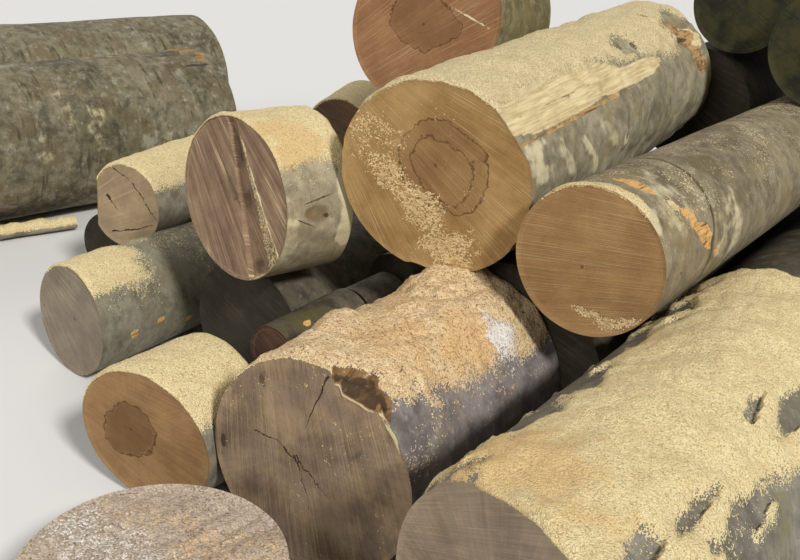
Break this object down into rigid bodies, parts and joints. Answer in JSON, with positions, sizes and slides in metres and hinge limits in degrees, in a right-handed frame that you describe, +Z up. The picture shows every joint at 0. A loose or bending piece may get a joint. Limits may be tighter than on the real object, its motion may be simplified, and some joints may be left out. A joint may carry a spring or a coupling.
{
  "type": "heap of logs",
  "caption": "Loose heap of sawn beech logs and short rounds with fresh cut ends, lying on a level floor.",
  "frame": {"origin": "middle of the heap's bounding box, on the floor", "axes": "+Z up, +Y away from the side where the heap is looked at, +X to the right"},
  "size_m": [5.3793, 4.9202, 1.3711],
  "materials": {
    "log": "raw bark, sawn ends and sawdust"
  },
  "bodies": {
    "root": {"back_round": "log", "back_trunk": "log", "base_log_centre": "log", "base_log_far_left": "log", "base_log_left": "log", "base_log_right": "log", "branch": "log", "centre_log": "log", "deep_log": "log", "far_left_log": "log", "far_trunk": "log", "front_left_round": "log", "front_log": "log", "front_right_log": "log", "gap_log_far": "log", "gap_log_middle": "log", "gap_log_near": "log", "left_round": "log", "mid_left_log": "log", "mossy_log": "log", "right_log": "log", "row_end_log": "log", "second_row_log": "log", "second_row_right_log": "log", "standing_round": "log", "top_round": "log", "upper_right_log": "log"}
  },
  "joints": []
}
